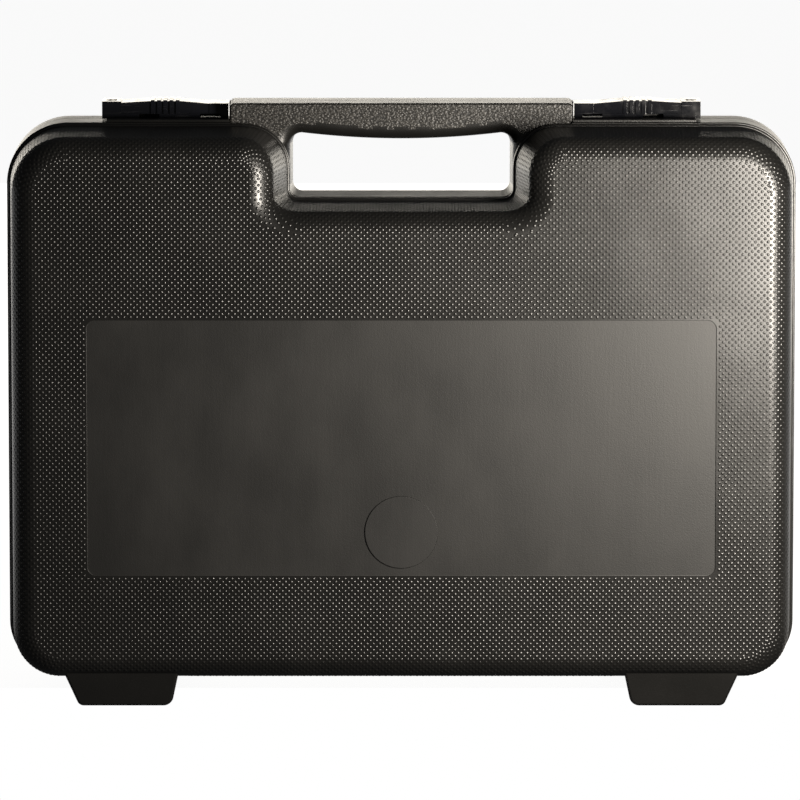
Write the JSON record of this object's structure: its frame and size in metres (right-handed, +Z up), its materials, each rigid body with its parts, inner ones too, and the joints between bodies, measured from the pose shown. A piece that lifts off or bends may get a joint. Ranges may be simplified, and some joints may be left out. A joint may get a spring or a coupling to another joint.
{
  "type": "carry case",
  "caption": "Blow-moulded carry case with a hinged lid, sliding latches beside a built-in handle, feet and die-cut foam for a microphone and its accessories.",
  "frame": {"origin": "on the floor, under the middle of the case as it stands on its feet", "axes": "+X across the case to its right, -Y out of the lid (the front), +Z up towards the handle"},
  "size_m": [0.4116, 0.13, 0.3128],
  "materials": {
    "shell_plastic": "satin",
    "latch_plastic": "gloss",
    "pin_steel": "satin",
    "foam": "matte"
  },
  "bodies": {
    "base": {"base_shell": "shell_plastic", "foam_floor": "foam", "foam_lower": "foam", "foam_upper": "foam", "hinge_pin_left": "pin_steel", "hinge_pin_right": "pin_steel"},
    "lid": {"lid_shell": "shell_plastic", "lid_foam": "foam"},
    "latch_left": {"latch_left": "latch_plastic"},
    "latch_right": {"latch_right": "latch_plastic"}
  },
  "joints": [
    {"name": "lid_hinge", "type": "hinge", "parent": "base", "child": "lid", "pos_m": [0, 0, 0.0056], "axis": [1, 0, 0], "range_deg": [0, 105]},
    {"name": "latch_left_slide", "type": "slide", "parent": "base", "child": "latch_left", "axis": [-1, 0, 0], "range_m": [0, 0.012]},
    {"name": "latch_right_slide", "type": "slide", "parent": "base", "child": "latch_right", "axis": [1, 0, 0], "range_m": [0, 0.012]}
  ]
}
